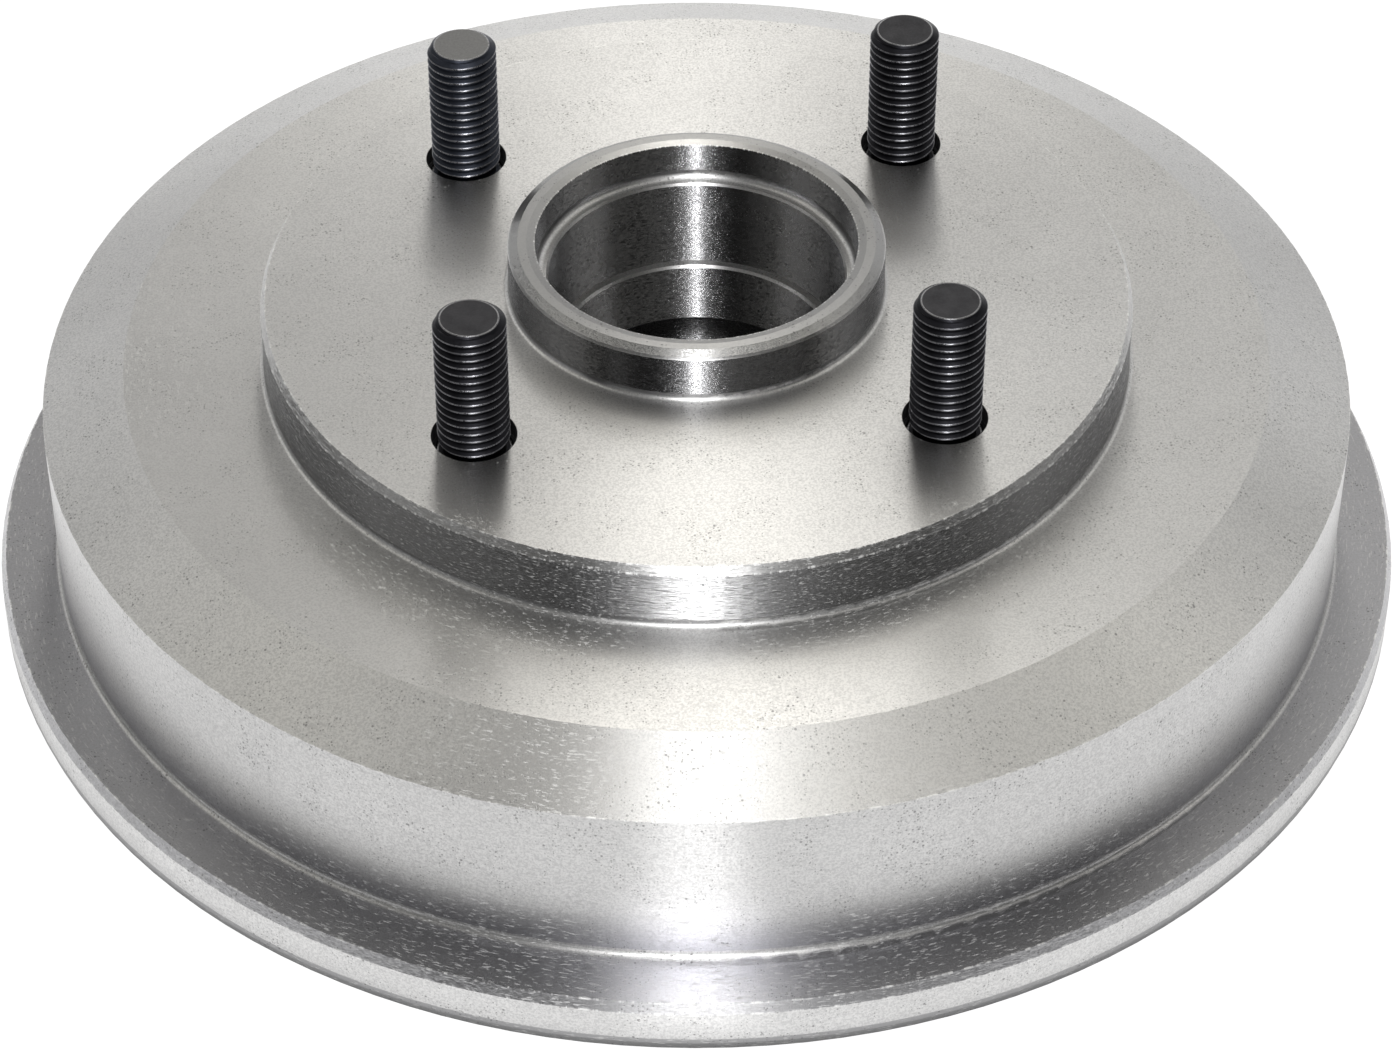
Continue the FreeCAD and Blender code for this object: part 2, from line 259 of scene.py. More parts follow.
# Smooth steps over the floor: how bright the camera sees it by the radius, painted dark under the
# drum, where before the drum turns into behind it, and the gleam's width, turn, start and end
FLOOR_SHADE_UNDER_DRUM = (118.8 * MM, 120.4 * MM, 0.10, 0.97)
BEFORE_THE_DRUM = (-0.3, 0.3, 1.0, 0.0)
GLEAM_WIDTH = (3.0 * MM, 18.0 * MM, 0.8, 0.0)
GLEAM_TURN = (-0.9, -0.6, 1.0, 0.0)
GLEAM_START = (122.0 * MM, 136.0 * MM, 0.0, 1.0)
GLEAM_END = (220.0 * MM, 300.0 * MM, 1.0, 0.0)

# How bright the floor glows in the metal, by the distance from the axis in metres, with its warmth;
# the low start of each curve is a painted shadow round and under the drum
FLOOR_BEFORE = (
    (0.1206, 0.0, 0.0),
    (0.1214, 0.46, 0.0),
    (0.1232, 0.58, 0.0),
    (0.1246, 1.08, 0.0),
    (0.1400, 0.86, 0.0),
    (0.2800, 0.75, 0.0),
    (0.3500, 0.60, 0.0),
    (0.9000, 0.25, 0.0),
)
FLOOR_BEHIND = (
    (0.1206, 0.0, 0.0),
    (0.1250, 1.05, 0.0),
    (0.2600, 0.95, 0.0),
    (0.3500, 1.20, 0.0),
    (0.9000, 1.25, 0.0),
)

# The studio's brightness: the elevations in degrees where its level changes, the warmth there, and
# for each turn in degrees from behind the drum where a part starts, its levels from low to high
STUDIO_EDGES = (15, 35, 55, 75)
STUDIO_WARMTH = (0.0, 0.02, 0.07, 0.05)
STUDIO = (
    (-180, (0.05, 0.00, 0.00, 0.00, 0.20)),
    (-140, (0.54, 0.22, 0.18, 0.00, 0.20)),
    (-90, (0.10, 0.06, 0.57, 0.76, 0.20)),
    (-50, (0.44, 0.66, 0.90, 0.60, 0.25)),
    (-20, (0.36, 0.60, 0.10, 0.00, 0.20)),
    (0, (0.36, 0.46, 0.58, 2.60, 0.80)),
    (20, (0.46, 0.78, 0.66, 1.30, 0.80)),
    (50, (0.10, 0.14, 0.80, 0.55, 0.80)),
    (90, (0.54, 0.05, 0.00, 0.28, 0.74)),
    (140, (0.05, 0.35, 0.00, 0.19, 0.74)),
)

# Half the width, in degrees, over which its parts and its levels run into each other, and the
# elevations between which the white horizon ends
PART_BLEND = 4
LEVEL_BLEND = 2
HORIZON = (0.5, 3)
WHITE = (1.0, 1.0, 1.0, 1.0)

# How much red a warm light gains, and green a warm lamp loses, for the blue that it loses
WARM_SHIFT = 0.3

# The lamps: turn in degrees from behind the drum, lowest and highest elevation, width in degrees,
# radiance and warmth
LAMP_REACH = 3.0
LAMPS = (
    ("strip_back_high", 0, 50, 80, 6, 4.4, 0.10),
    ("strip_back_low", 0, 20, 50, 6, 1.12, 0.07),
    ("strip_top", 180, 80, 98, 3, 4.9, 0.0),
    ("strip_front_high", 180, 50, 65, 3, 68.0, 0.0),
    ("strip_front_middle", 180, 25, 50, 3, 14.0, 0.0),
    ("panel_front_high", 180, 50, 65, 8, 2.7, 0.0),
    ("panel_front_middle", 180, 25, 50, 8, 2.2, 0.0),
    ("panel_front_low", 180, 1, 20, 16, 2.8, 0.0),
)


def in_view(right, back, up):
    """A point from the rim plane's centre, as the camera sees it: to the right, behind and up."""
    return Matrix.Rotation(VIEW_TURN, 3, "Z") @ Vector((right, back, up))


def add_node(tree, kind, inputs=None, **settings):
    """Adds a node, gives it its settings, and links or sets its inputs by name or number."""
    node = tree.nodes.new(kind)
    for name, setting in settings.items():
        setattr(node, name, setting)
    for name, source in (inputs or {}).items():
        if isinstance(source, bpy.types.NodeSocket):
            tree.links.new(source, node.inputs[name])
        else:
            node.inputs[name].default_value = source
    return node


def calculate(tree, operation, first, second=0.0, third=0.0, clamp=False):
    """The result of one Math node."""
    inputs = {0: first, 1: second, 2: third}
    node = add_node(tree, "ShaderNodeMath", inputs, operation=operation, use_clamp=clamp)
    return node.outputs[0]


def ramp(tree, source, low, high, from_value=0.0, to_value=1.0):
    """Turns source, from low to high, into a smooth step between two values."""
    inputs = {"Value": source, 1: low, 2: high, 3: from_value, 4: to_value}
    node = add_node(tree, "ShaderNodeMapRange", inputs, interpolation_type="SMOOTHSTEP")
    return node.outputs[0]


def multiply(tree, first, *others):
    """The product of several values."""
    for other in others:
        first = calculate(tree, "MULTIPLY", first, other)
    return first


def greatest(tree, first, *others):
    """The greatest of several values."""
    for other in others:
        first = calculate(tree, "MAXIMUM", first, other)
    return first


def remainder(tree, share):
    """What a share leaves of one."""
    return calculate(tree, "SUBTRACT", 1.0, share)


def noise(tree, vector, size, detail=2.0, roughness=0.5, w=None):
    """A noise whose grains are about that size in metres, or in the vector's own units."""
    inputs = {"Vector": vector, "Scale": 1.0 / size, "Detail": detail, "Roughness": roughness}
    if w is not None:
        inputs["W"] = w
    dimensions = "3D" if w is None else "4D"
    return add_node(tree, "ShaderNodeTexNoise", inputs, noise_dimensions=dimensions).outputs["Fac"]


def blend_colour(tree, factor, first, second):
    """A colour between two others."""
    node = tree.nodes.new("ShaderNodeMix")
    node.data_type = "RGBA"
    colours = [socket for socket in node.inputs if socket.type == "RGBA"]
    for socket, source in ((node.inputs[0], factor), (colours[0], first), (colours[1], second)):
        if isinstance(source, bpy.types.NodeSocket):
            tree.links.new(source, socket)
        else:
            socket.default_value = source
    return next(socket for socket in node.outputs if socket.type == "RGBA")


def new_material(name):
    """An empty node material with its output, and a Principled shader on it."""
    material = bpy.data.materials.new(name)
    material.use_nodes = True
    tree = material.node_tree
    tree.nodes.clear()
    output = tree.nodes.new("ShaderNodeOutputMaterial")
    shader = tree.nodes.new("ShaderNodeBsdfPrincipled")
    tree.links.new(shader.outputs[0], output.inputs["Surface"])
    return material, tree, shader


def axis_coordinates(tree):
    """The point, its radius from the drum's axis, its height and its direction round the axis."""
    point = add_node(tree, "ShaderNodeTexCoord").outputs["Object"]
    parts = add_node(tree, "ShaderNodeSeparateXYZ", {0: point})
    level = {"X": parts.outputs[0], "Y": parts.outputs[1]}
    flat = add_node(tree, "ShaderNodeCombineXYZ", level).outputs[0]
    radius = add_node(tree, "ShaderNodeVectorMath", {0: flat}, operation="LENGTH").outputs["Value"]
    outward = add_node(tree, "ShaderNodeVectorMath", {0: flat}, operation="NORMALIZE").outputs[0]
    return point, radius, parts.outputs[2], outward


def stud_reach(tree, point):
    """How far the point is from the nearest stud's axis."""
    quarter = add_node(tree, "ShaderNodeVectorMath", {0: point}, operation="ABSOLUTE").outputs[0]
    parts = add_node(tree, "ShaderNodeSeparateXYZ", {0: quarter})
    stud_x = pitch_radius * math.cos(FIRST_STUD_ANGLE)
    stud_y = pitch_radius * math.sin(FIRST_STUD_ANGLE)
    offsets = {
        "X": calculate(tree, "SUBTRACT", parts.outputs[0], stud_x),
        "Y": calculate(tree, "SUBTRACT", parts.outputs[1], stud_y),
    }
    offset = add_node(tree, "ShaderNodeCombineXYZ", offsets).outputs[0]
    return add_node(tree, "ShaderNodeVectorMath", {0: offset}, operation="LENGTH").outputs["Value"]


def pores(tree, point, spacing, reach, share=1.0):
    """Dark open pores of many sizes, the largest with that reach, in cells of that spacing."""
    cells = add_node(tree, "ShaderNodeTexVoronoi", {"Vector": point, "Scale": 1.0 / spacing})
    lot = add_node(tree, "ShaderNodeSeparateColor", {0: cells.outputs["Color"]}).outputs[0]
    widest = multiply(tree, calculate(tree, "POWER", lot, PORE_SPREAD), reach / spacing, share)
    depth = calculate(tree, "SUBTRACT", widest, cells.outputs["Distance"])
    return calculate(tree, "MULTIPLY", depth, spacing / PORE_EDGE, clamp=True)


def nearest_edge(tree, radius, height):
    """How far the point is from the nearest of the worn edges."""
    nearest = None
    for edge_radius, edge_height in WORN_EDGES:
        offset = add_node(
            tree,
            "ShaderNodeCombineXYZ",
            {
                "X": calculate(tree, "SUBTRACT", radius, edge_radius),
                "Y": calculate(tree, "SUBTRACT", height, edge_height),
            },
        )
        length = add_node(tree, "ShaderNodeVectorMath", {0: offset.outputs[0]}, operation="LENGTH")
        distance = length.outputs["Value"]
        nearest = distance if nearest is None else calculate(tree, "MINIMUM", nearest, distance)
    return nearest


def edge_wear_and_glint(tree, distance, around):
    """Where the turned edges are rubbed bright, in broken stretches: wear with a painted highlight.
    """
    breaks = ramp(tree, noise(tree, around, 0.9, detail=3.0, roughness=0.7), *BROKEN_WEAR_AND_GLINT)
    return multiply(tree, ramp(tree, distance, *WEAR_AND_GLINT_BAND), breaks)


def turned_fillets(tree, radius, height):
    """How far a fillet's surface faces outward and upward, and whether the point is in one."""
    level = 0.0
    upright = 0.0
    in_fillet = 0.0
    for centre_radius, centre_height, arc, side, flat in FILLETS:
        flat_end = side * centre_radius - flat * arc
        inward = calculate(tree, "SUBTRACT", flat_end, multiply(tree, radius, side))
        inward = greatest(tree, inward, 0.0)
        up = greatest(tree, calculate(tree, "SUBTRACT", centre_height, height), 0.0)
        beside = calculate(tree, "SUBTRACT", radius, centre_radius - side * arc / 2)
        above = calculate(tree, "SUBTRACT", height, centre_height - arc / 2)
        farthest = greatest(
            tree, calculate(tree, "ABSOLUTE", beside), calculate(tree, "ABSOLUTE", above)
        )
        near = calculate(tree, "LESS_THAN", farthest, arc / 2 + FILLET_MARGIN)
        level = calculate(tree, "MULTIPLY_ADD", near, multiply(tree, inward, side), level)
        upright = calculate(tree, "MULTIPLY_ADD", near, up, upright)
        in_fillet = calculate(tree, "ADD", in_fillet, near)
    return level, upright, in_fillet


def turned_normal(tree, outward, facing, fillets, tilt):
    """The surface's normal: exactly round in the turned fillets, tilted by tool marks elsewhere."""
    level, upright, in_fillet = fillets
    elsewhere = remainder(tree, in_fillet)
    normal = add_node(
        tree, "ShaderNodeVectorMath", {0: outward, "Scale": level}, operation="SCALE"
    )
    for part in (
        add_node(tree, "ShaderNodeCombineXYZ", {2: upright}),
        add_node(tree, "ShaderNodeVectorMath", {0: facing, "Scale": elsewhere}, operation="SCALE"),
        add_node(tree, "ShaderNodeCombineXYZ", {2: multiply(tree, tilt, elsewhere)}),
    ):
        addends = {0: normal.outputs[0], 1: part.outputs[0]}
        normal = add_node(tree, "ShaderNodeVectorMath", addends, operation="ADD")
    sum_of_parts = {0: normal.outputs[0]}
    return add_node(tree, "ShaderNodeVectorMath", sum_of_parts, operation="NORMALIZE").outputs[0]


def groove_coordinates(tree, radius, height, outward):
    """The direction round the axis in grains, its parts, and the place and rise for a noise."""
    around = add_node(
        tree, "ShaderNodeVectorMath", {0: outward, "Scale": GRAINS_PER_RADIAN}, operation="SCALE"
    ).outputs[0]
    turned = add_node(tree, "ShaderNodeSeparateXYZ", {0: around})
    across = calculate(tree, "DIVIDE", radius, GROOVE_WIDTH)
    place = add_node(
        tree, "ShaderNodeCombineXYZ", {"X": turned.outputs[0], "Y": turned.outputs[1], "Z": across}
    ).outputs[0]
    return around, turned, place, calculate(tree, "DIVIDE", height, GROOVE_WIDTH)


def bored_marks(tree, turned, height):
    """Short tool marks round the bores, from 0 to the steepest tilt."""
    place = add_node(
        tree,
        "ShaderNodeCombineXYZ",
        {
            "X": multiply(tree, turned.outputs[0], BORED_MARKS_PER_GRAIN),
            "Y": multiply(tree, turned.outputs[1], BORED_MARKS_PER_GRAIN),
            "Z": calculate(tree, "DIVIDE", height, BORED_MARK_WIDTH),
        },
    )
    marks = noise(tree, place.outputs[0], 1.0, detail=1.0, roughness=0.6)
    return ramp(tree, marks, *BORED_MARKS)


def open_pores(tree, point):
    """Graphite pores of two sizes, crowded in places."""
    crowding = ramp(tree, noise(tree, point, CROWD_SIZE, detail=2.0, roughness=0.5), *CROWDING)
    large_pores = pores(tree, point, *LARGE_PORES, crowding)
    small_pores = pores(tree, point, *SMALL_PORES, crowding)
    return multiply(tree, greatest(tree, large_pores, small_pores), PORE_STRENGTH)


def cast_regions(tree, radius, height):
    """Where the drum keeps its cast skin: in the pocket and under the web, not in the bores."""
    in_pocket = multiply(
        tree,
        calculate(tree, "LESS_THAN", radius, POCKET_EDGE),
        calculate(tree, "LESS_THAN", height, POCKET_CEILING),
    )
    under_web = multiply(
        tree,
        calculate(tree, "LESS_THAN", radius, BRAKING_EDGE),
        calculate(tree, "LESS_THAN", height, WEB_CEILING),
    )
    inside = greatest(tree, in_pocket, under_web)
    return multiply(tree, inside, calculate(tree, "GREATER_THAN", radius, CAST_START))


def foot_shade(tree, radius, height, on_wall, fillets):
    """How dark the painted shade on the flange's top and the shell's foot is.

    The fillet between them stays bright.
    """
    foot = multiply(tree, ramp(tree, height, *SHELL_FOOT), ramp(tree, radius, *SHELL_START))
    on_flange = calculate(tree, "LESS_THAN", height, FLANGE_TOP)
    on_shell = calculate(tree, "GREATER_THAN", height, FLANGE_TOP)
    shown = greatest(tree, multiply(tree, on_flange, remainder(tree, on_wall)), on_shell)
    in_fillet = calculate(tree, "DIVIDE", fillets[0], FILLET_LIFT, clamp=True)
    return multiply(tree, foot, shown, remainder(tree, in_fillet))


def step_wall(tree, radius, on_wall):
    """The raised wheel face's wall, whose tool marks are weaker than the bores'."""
    start = ramp(tree, radius, *STEP_WALL_START)
    return multiply(tree, ramp(tree, radius, *STEP_WALL_END), on_wall, start)


def rim_foot_shadow(tree, radius, height):
    """How dark the painted shadow on the bevel under the rim, by the floor, is."""
    beyond = calculate(tree, "GREATER_THAN", radius, LOWER_BEVEL_START)
    return multiply(tree, ramp(tree, height, *LOWER_BEVEL_RISE), beyond)


def turned_iron():
    """Turned grey iron: grooves round the axis, graphite specks, and the cast skin inside."""
    material, tree, shader = new_material("turned_iron")
    point, radius, height, outward = axis_coordinates(tree)
    facing = add_node(tree, "ShaderNodeTexCoord").outputs["Normal"]
    upward = add_node(tree, "ShaderNodeSeparateXYZ", {0: facing}).outputs[2]
    on_wall = ramp(tree, calculate(tree, "ABSOLUTE", upward), *WALL_SLOPES)
    fillets = turned_fillets(tree, radius, height)
    off_fillets = remainder(tree, fillets[2])

    # Grooves: grains stretched round the axis
    around, turned, place, rise = groove_coordinates(tree, radius, height, outward)
    grooves = noise(tree, place, 1.0, detail=2.0, roughness=0.6, w=rise)
    fine_place = add_node(
        tree, "ShaderNodeVectorMath", {0: place, 1: FINE_GROOVE_SCALE}, operation="MULTIPLY"
    ).outputs[0]
    fine_rise = multiply(tree, rise, FINE_GROOVE_SCALE[2])
    fine_grooves = noise(tree, fine_place, 1.0, detail=0.0, roughness=0.5, w=fine_rise)
    scratches = multiply(tree, ramp(tree, fine_grooves, *SCRATCHED), on_wall)
    fleck_noise = noise(tree, place, 0.7, detail=1.0, roughness=0.5, w=rise)
    beyond_pocket = calculate(tree, "GREATER_THAN", radius, POCKET_EDGE)
    flecks = multiply(tree, ramp(tree, fleck_noise, *FLECKED), beyond_pocket)

    # Tool marks that tilt the surface: steep in the bores, slight on bevels and the spigot's end
    bored = multiply(tree, ramp(tree, radius, *HUB_WALLS), on_wall, off_fillets)
    tooled = greatest(tree, bored, multiply(tree, step_wall(tree, radius, on_wall), off_fillets))
    bored_tilt = multiply(tree, bored_marks(tree, turned, height), tooled)
    edge_distance = nearest_edge(tree, radius, height)
    spigot_end = multiply(
        tree, ramp(tree, height, *SPIGOT_END_RISE), ramp(tree, radius, *SPIGOT_END_EDGE)
    )
    rough_turned = greatest(tree, spigot_end, ramp(tree, edge_distance, *BEVEL_BAND))
    sparkle = ramp(tree, fine_grooves, *SPARKLE)
    tilt = calculate(tree, "MULTIPLY_ADD", sparkle, rough_turned, bored_tilt)

    # Grain, clouds, pores and worn edges, the edges partly a painted highlight
    grain = noise(tree, point, GRAIN_SIZE, detail=2.0, roughness=0.7)
    clouds = noise(tree, point, CLOUD_SIZE, detail=3.0, roughness=0.55)
    pitting = open_pores(tree, point)
    wear_and_glint = edge_wear_and_glint(tree, edge_distance, around)

    # The recess round each stud, darkened, and filings on the face beside it
    reach = stud_reach(tree, point)
    by_the_face = calculate(tree, "GREATER_THAN", height, face_height - RECESS_DEPTH)
    recess = multiply(tree, ramp(tree, reach, *RECESS_EDGE), by_the_face)
    beside_stud = multiply(tree, ramp(tree, reach, *FILINGS_REACH), by_the_face)
    filings = multiply(tree, pores(tree, point, *FILING_SPOTS), beside_stud)

    # The cast skin inside
    cast = cast_regions(tree, radius, height)
    cast_lumps = noise(tree, point, LUMP_SIZE, detail=4.0, roughness=0.6)

    # Colour, from the plain metal to what lies on it, with painted shade and painted highlights
    bore_and_spigot_shade = greatest(tree, bored, multiply(tree, spigot_end, SPIGOT_END_SHADE))
    hub_wall_shade = multiply(tree, ramp(tree, radius, *SHADED_HUB_WALLS), on_wall)
    colour = blend_colour(tree, clouds, CLEAN_IRON, CLOUDED_IRON)
    for share, tone in (
        # painted shade in the bores, on the walls near the hub and on the spigot's end
        (greatest(tree, hub_wall_shade, bore_and_spigot_shade), PAINTED_BORE_SHADE),
        # painted shade on the flange's top and at the shell's foot
        (foot_shade(tree, radius, height, on_wall, fillets), FLANGE_SHADE),
        # painted shadow on the bevel under the rim
        (rim_foot_shadow(tree, radius, height), RIM_FOOT_SHADOW),
        (ramp(tree, grain, *GRAIN_SHADE), GRAIN_IRON),
        (multiply(tree, ramp(tree, grooves, *GROOVE_SHADE), on_wall), GROOVE_IRON),
        (pitting, PORE),
        # worn edges, partly a painted highlight
        (wear_and_glint, RUBBED_AND_GLINTING_IRON),
        (filings, FILING),
        (multiply(tree, flecks, FLECK_SHARE), FLECK),
        (recess, DARK_RECESS),
        (cast, blend_colour(tree, cast_lumps, *CAST_SKIN)),
    ):
        colour = blend_colour(tree, share, colour, tone)

    # What each adds to the roughness and to the relief
    roughness = ramp(tree, grain, *GRAIN_ROUGHNESS)
    for amount, strength in (
        (pitting, 0.30),
        (wear_and_glint, 0.25),
        (filings, 0.40),
        (flecks, 0.30),
        (fillets[2], 0.04),
        (recess, 0.30),
        (cast, 0.38),
        (bored, BORED_ROUGHNESS),
    ):
        roughness = calculate(tree, "MULTIPLY_ADD", amount, strength, roughness)
    relief = 0.0
    for amount, strength in (
        (grooves, 0.30),
        (grain, 0.20),
        (pitting, -0.4),
        (scratches, 0.2),
        (multiply(tree, cast_lumps, cast), 14.0),
    ):
        relief = calculate(tree, "MULTIPLY_ADD", amount, strength, relief)
    normal = turned_normal(tree, outward, facing, fillets, tilt)
    bump = add_node(
        tree,
        "ShaderNodeBump",
        {"Strength": 1.0, "Distance": RELIEF_DEPTH, "Height": relief, "Normal": normal},
    )

    tangent = add_node(tree, "ShaderNodeTangent", direction_type="RADIAL", axis="Z")
    shader.inputs["Metallic"].default_value = 1.0
    shader.inputs["Anisotropic Rotation"].default_value = ROUND_THE_AXIS
    for socket, source in (
        ("Base Color", colour),
        ("Roughness", roughness),
        ("Normal", bump.outputs[0]),
        ("Tangent", tangent.outputs[0]),
        ("Anisotropic", calculate(tree, "MULTIPLY_ADD", bored, BORED_STRETCH, TURNED_STRETCH)),
    ):
        tree.links.new(source, shader.inputs[socket])
    return material


def black_oxide():
    """Dark matt oxide on the studs, rubbed bright along the thread's crests and round the tip.

    The crests' brightness is partly wear and partly a painted highlight.
    """
    material, tree, shader = new_material("stud_steel")
    point, _, height, _ = axis_coordinates(tree)
    reach = stud_reach(tree, point)
    grain = noise(tree, point, OXIDE_GRAIN, detail=3.0, roughness=0.6)
    patches = noise(tree, point, OXIDE_PATCH, detail=2.0, roughness=0.5)

    # The stud at the back left has a paler tip and bluer oxide
    parts = add_node(tree, "ShaderNodeSeparateXYZ", {0: point})
    left = calculate(tree, "LESS_THAN", parts.outputs[0], 0.0)
    paler_stud = multiply(tree, left, calculate(tree, "GREATER_THAN", parts.outputs[1], 0.0))
    black = blend_colour(tree, patches, *BLACK_OXIDE)
    oxide = blend_colour(tree, paler_stud, black, blend_colour(tree, patches, *BLUE_OXIDE))
    black_tip = blend_colour(tree, patches, *BLACK_TIP)
    tip_colour = blend_colour(tree, paler_stud, black_tip, blend_colour(tree, grain, *PALE_TIP))

    # The rubbed crests, partly a painted highlight, the tip's face and its worn rim
    crest = multiply(
        tree, ramp(tree, reach, *CREST_REACH), ramp(tree, patches, *CREST_PATCHES)
    )
    from_edge = calculate(tree, "SUBTRACT", reach, thread_radius - TIP_BEVEL_WIDTH)
    rim = multiply(
        tree,
        ramp(tree, calculate(tree, "ABSOLUTE", from_edge), *TIP_RIM_WIDTH),
        ramp(tree, height, *TIP_RIM_RISE),
    )
    colour = blend_colour(tree, crest, oxide, CREST_WEAR_AND_HIGHLIGHT)
    colour = blend_colour(tree, ramp(tree, height, *TIP_FACE), colour, tip_colour)
    colour = blend_colour(tree, rim, colour, WORN_RIM)

    smoother = multiply(tree, greatest(tree, crest, rim), RUBBED_SMOOTHER)
    roughness = calculate(tree, "SUBTRACT", ramp(tree, grain, *OXIDE_ROUGHNESS), smoother)
    bump = add_node(
        tree, "ShaderNodeBump", {"Strength": 1.0, "Distance": OXIDE_RELIEF, "Height": grain}
    )
    tree.links.new(colour, shader.inputs["Base Color"])
    tree.links.new(roughness, shader.inputs["Roughness"])
    tree.links.new(bump.outputs[0], shader.inputs["Normal"])
    shader.inputs["Metallic"].default_value = 1.0
    return material


def ring(mesh, radii, height):
    """A closed loop of vertices, one radius for each side."""
    loop = []
    for side, radius in enumerate(radii):
        angle = side * math.tau / len(radii)
        loop.append(mesh.verts.new((radius * math.cos(angle), radius * math.sin(angle), height)))
    return loop


def skin_between(mesh, lower, upper):
    """Faces between two loops of as many vertices."""
    for side in range(len(lower)):
        following = (side + 1) % len(lower)
        mesh.faces.new((lower[side], lower[following], upper[following], upper[side]))


def stud_radius_limit(height):
    """The radius that the neck and the tip bevel leave the thread at a height."""
    neck = thread_radius - NECK_DEPTH
    runout = neck + max(0.0, height - (face_height - NECK_DEPTH))
    bevel_foot = stud_tip - TIP_BEVEL_HEIGHT
    taper = max(0.0, height - bevel_foot) * TIP_BEVEL_WIDTH / TIP_BEVEL_HEIGHT
    return min(runout, thread_radius - taper)


def thread_loops(mesh, low, high):
    """The thread's skin as a helix of rows, a pitch longer at each end than it will be."""
    rows = []
    first_turn = math.floor(low / THREAD_PITCH) - 2
    last_turn = math.ceil(high / THREAD_PITCH) + 1
    for turn in range(first_turn, last_turn + 1):
        for share, depth in THREAD_FORM:
            row = []
            for side in range(STUD_SIDES):
                angle = side * math.tau / STUD_SIDES
                height = (turn + share + side / STUD_SIDES) * THREAD_PITCH
                crest = thread_radius - CREST_WEAR
                radius = min(crest - depth * THREAD_DEPTH, stud_radius_limit(height))
                across, along = radius * math.cos(angle), radius * math.sin(angle)
                row.append(mesh.verts.new((across, along, height)))
            rows.append(row)
    rows_per_turn = len(THREAD_FORM)
    for lower, upper in zip(rows, rows[1:]):
        for side in range(STUD_SIDES - 1):
            mesh.faces.new((lower[side], lower[side + 1], upper[side + 1], upper[side]))
    for index in range(len(rows) - 1 - rows_per_turn):
        lower, upper = rows[index], rows[index + 1]
        lower_end, upper_end = rows[index + rows_per_turn], rows[index + 1 + rows_per_turn]
        mesh.faces.new((lower[-1], lower_end[0], upper_end[0], upper[-1]))


def cut_flat(mesh, height, keep_above):
    """Cuts the mesh at a height and returns the cut's edges."""
    geometry = mesh.verts[:] + mesh.edges[:] + mesh.faces[:]
    cut = bmesh.ops.bisect_plane(
        mesh,
        geom=geometry,
        dist=CUT_TOLERANCE,
        plane_co=(0, 0, height),
        plane_no=(0, 0, 1),
        clear_inner=keep_above,
        clear_outer=not keep_above,
    )
    return [item for item in cut["geom_cut"] if isinstance(item, bmesh.types.BMEdge)]


def stud_mesh():
    """One wheel stud about its own axis: head, serrated shank, neck, thread and bevelled tip."""
    seat = stud_foot + HEAD_THICKNESS
    shank_top = seat + SERRATION_LENGTH
    mesh = bmesh.new()
    thread_loops(mesh, shank_top, stud_tip)
    neck_edges = cut_flat(mesh, shank_top, True)
    tip_edges = cut_flat(mesh, stud_tip, False)
    bmesh.ops.contextual_create(mesh, geom=tip_edges)

    crests = [SERRATION_RADIUS - SERRATION_DEPTH * (side % 2) for side in range(STUD_SIDES)]
    lead = [min(radius, SERRATION_RADIUS - SERRATION_LEAD) for radius in crests]
    loops = [
        ring(mesh, [HEAD_RADIUS - HEAD_BEVEL] * STUD_SIDES, stud_foot),
        ring(mesh, [HEAD_RADIUS] * STUD_SIDES, stud_foot + HEAD_BEVEL),
        ring(mesh, [HEAD_RADIUS] * STUD_SIDES, seat),
        ring(mesh, crests, seat),
        ring(mesh, crests, shank_top - SERRATION_LEAD),
        ring(mesh, lead, shank_top),
    ]
    mesh.faces.new(list(reversed(loops[0])))
    for lower, upper in zip(loops, loops[1:]):
        skin_between(mesh, lower, upper)
    rim = loops[-1]
    rim_edges = [mesh.edges.get((rim[side - 1], rim[side])) for side in range(STUD_SIDES)]
    bmesh.ops.bridge_loops(mesh, edges=rim_edges + [edge for edge in neck_edges if edge.is_valid])
    bmesh.ops.recalc_face_normals(mesh, faces=mesh.faces)
    data = bpy.data.meshes.new("wheel_stud")
    mesh.to_mesh(data)
    mesh.free()
    data.shade_smooth()
    data.set_sharp_from_angle(angle=SHARP_ANGLE)
    return data


def build_studs(material):
    """The four studs, one in each hole."""
    for index in range(stud_count):
        angle = FIRST_STUD_ANGLE + index * math.tau / stud_count
        data = stud_mesh()
        centre = Vector((pitch_radius * math.cos(angle), pitch_radius * math.sin(angle), 0))
        data.transform(Matrix.Translation(centre))
        data.materials.append(material)
        stud = bpy.data.objects.new(f"wheel_stud_{index + 1}", data)
        bpy.context.scene.collection.objects.link(stud)
        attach(stud, "root")
        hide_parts("wheel_studs")


def along_view(tree, vector, axis):
    """How far a vector reaches along one of the camera's level axes, as in_view gives them."""
    node = add_node(
        tree, "ShaderNodeVectorMath", {0: vector, 1: in_view(*axis)}, operation="DOT_PRODUCT"
    )
    return node.outputs["Value"]


